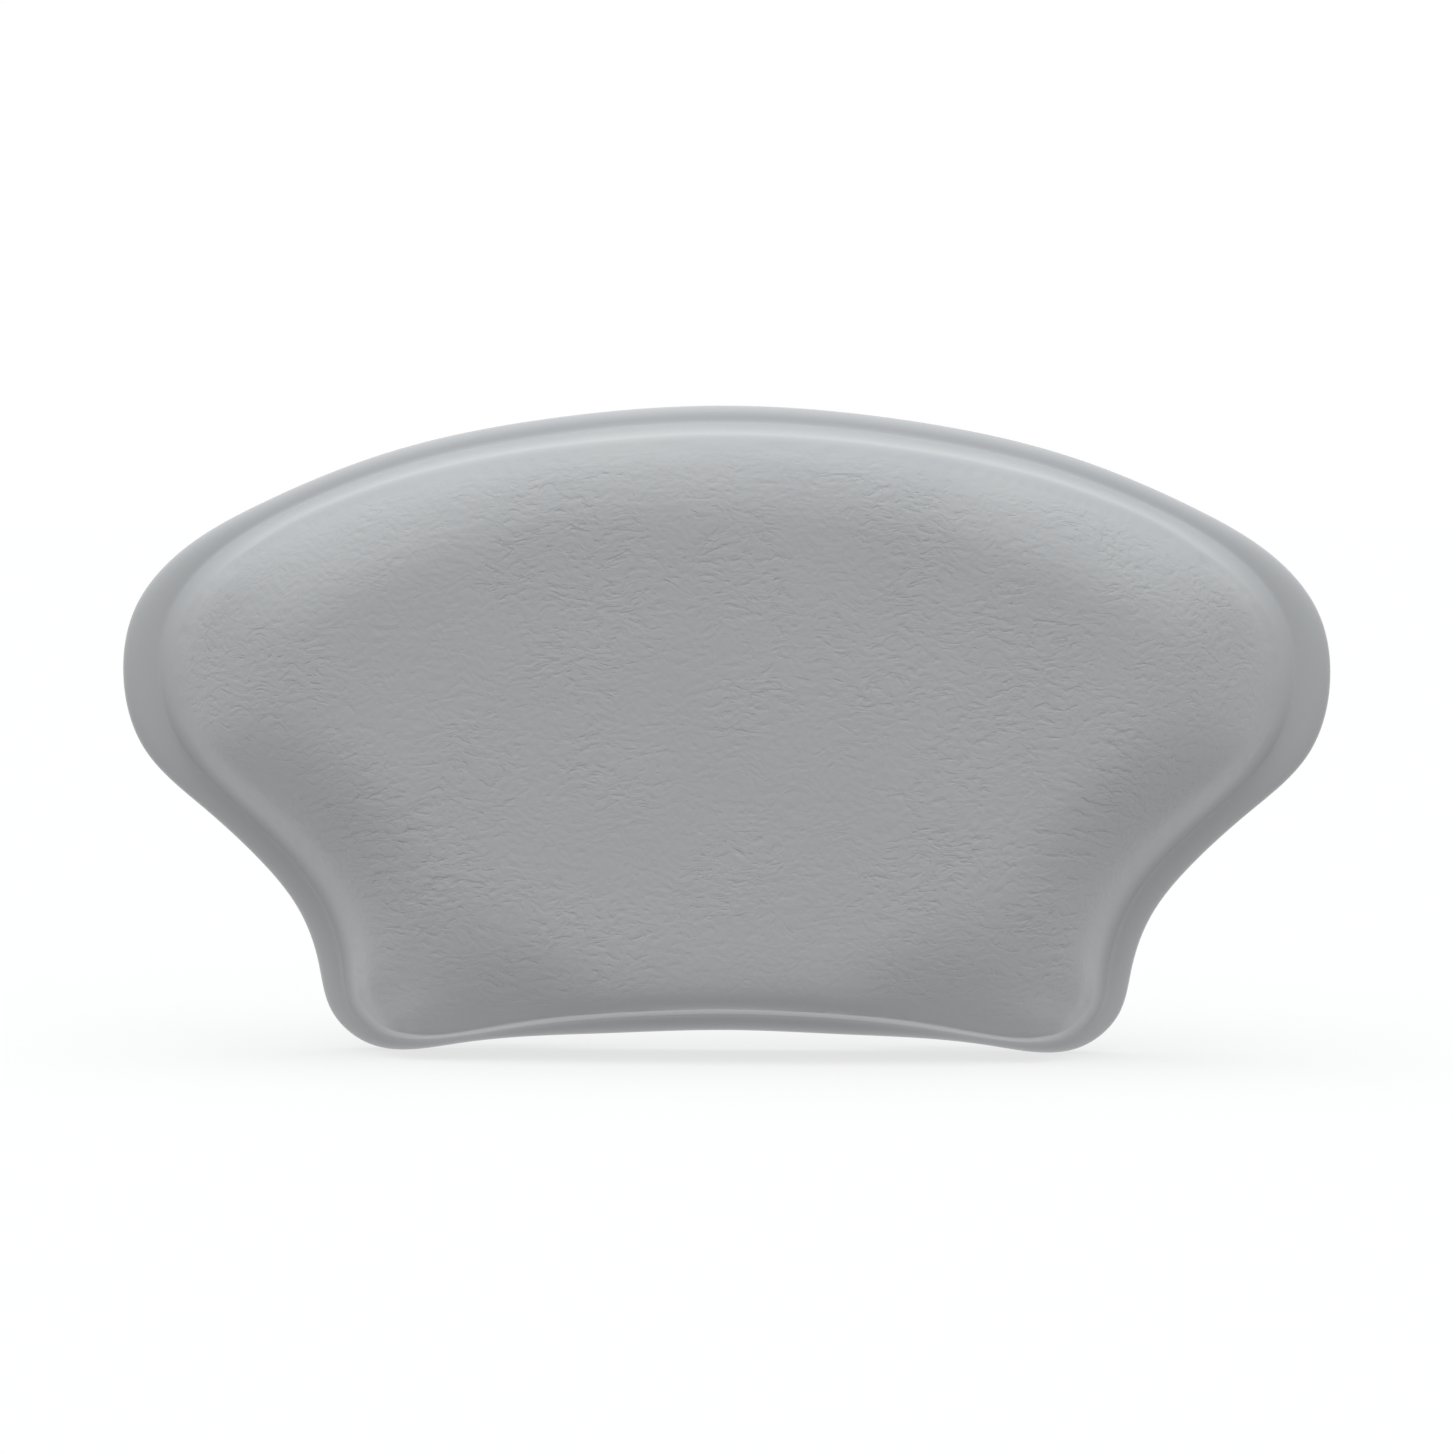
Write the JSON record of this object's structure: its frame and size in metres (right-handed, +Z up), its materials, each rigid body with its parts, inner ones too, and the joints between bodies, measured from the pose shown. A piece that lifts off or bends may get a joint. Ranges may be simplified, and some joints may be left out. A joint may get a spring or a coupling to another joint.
{
  "type": "bath pillow",
  "caption": "Padded bath pillow with a formed leather-grain skin over a crowned foam cushion and flange, held on the tub wall by soft suction cups that turn in sockets in its flat back.",
  "frame": {"origin": "on the flat back sheet, at half the pillow's width and half its height", "axes": "+X to the right and +Z up as seen from the front, +Y out of the back towards the tub wall; the cushion's front faces -Y"},
  "size_m": [0.305, 0.055, 0.1626],
  "materials": {
    "skin": "soft leather-grain vinyl",
    "core_foam": "open-cell foam",
    "pad_foam": "firm closed-cell foam",
    "plate": "moulded polypropylene",
    "back_sheet": "fine matte foam sheet",
    "socket": "moulded nylon",
    "suction_cup": "soft clear vinyl"
  },
  "bodies": {
    "pillow": {"cushion_skin": "skin", "foam_core": "core_foam", "base_pad": "pad_foam", "stiffener_plate": "plate", "back_sheet": "back_sheet", "cup_socket_upper_left": "socket", "cup_socket_upper_right": "socket", "cup_socket_lower_left": "socket", "cup_socket_lower_right": "socket"},
    "cup_upper_left": {"suction_cup_upper_left": "suction_cup"},
    "cup_upper_right": {"suction_cup_upper_right": "suction_cup"},
    "cup_lower_left": {"suction_cup_lower_left": "suction_cup"},
    "cup_lower_right": {"suction_cup_lower_right": "suction_cup"}
  },
  "joints": [
    {"name": "spin_upper_left", "type": "hinge", "parent": "pillow", "child": "cup_upper_left", "pos_m": [-0.09455, 0, 0.02195], "axis": [0, 1, 0], "continuous": true},
    {"name": "spin_upper_right", "type": "hinge", "parent": "pillow", "child": "cup_upper_right", "pos_m": [0.09455, 0, 0.02195], "axis": [0, 1, 0], "continuous": true},
    {"name": "spin_lower_left", "type": "hinge", "parent": "pillow", "child": "cup_lower_left", "pos_m": [-0.0549, 0, -0.0439], "axis": [0, 1, 0], "continuous": true},
    {"name": "spin_lower_right", "type": "hinge", "parent": "pillow", "child": "cup_lower_right", "pos_m": [0.0549, 0, -0.0439], "axis": [0, 1, 0], "continuous": true}
  ]
}
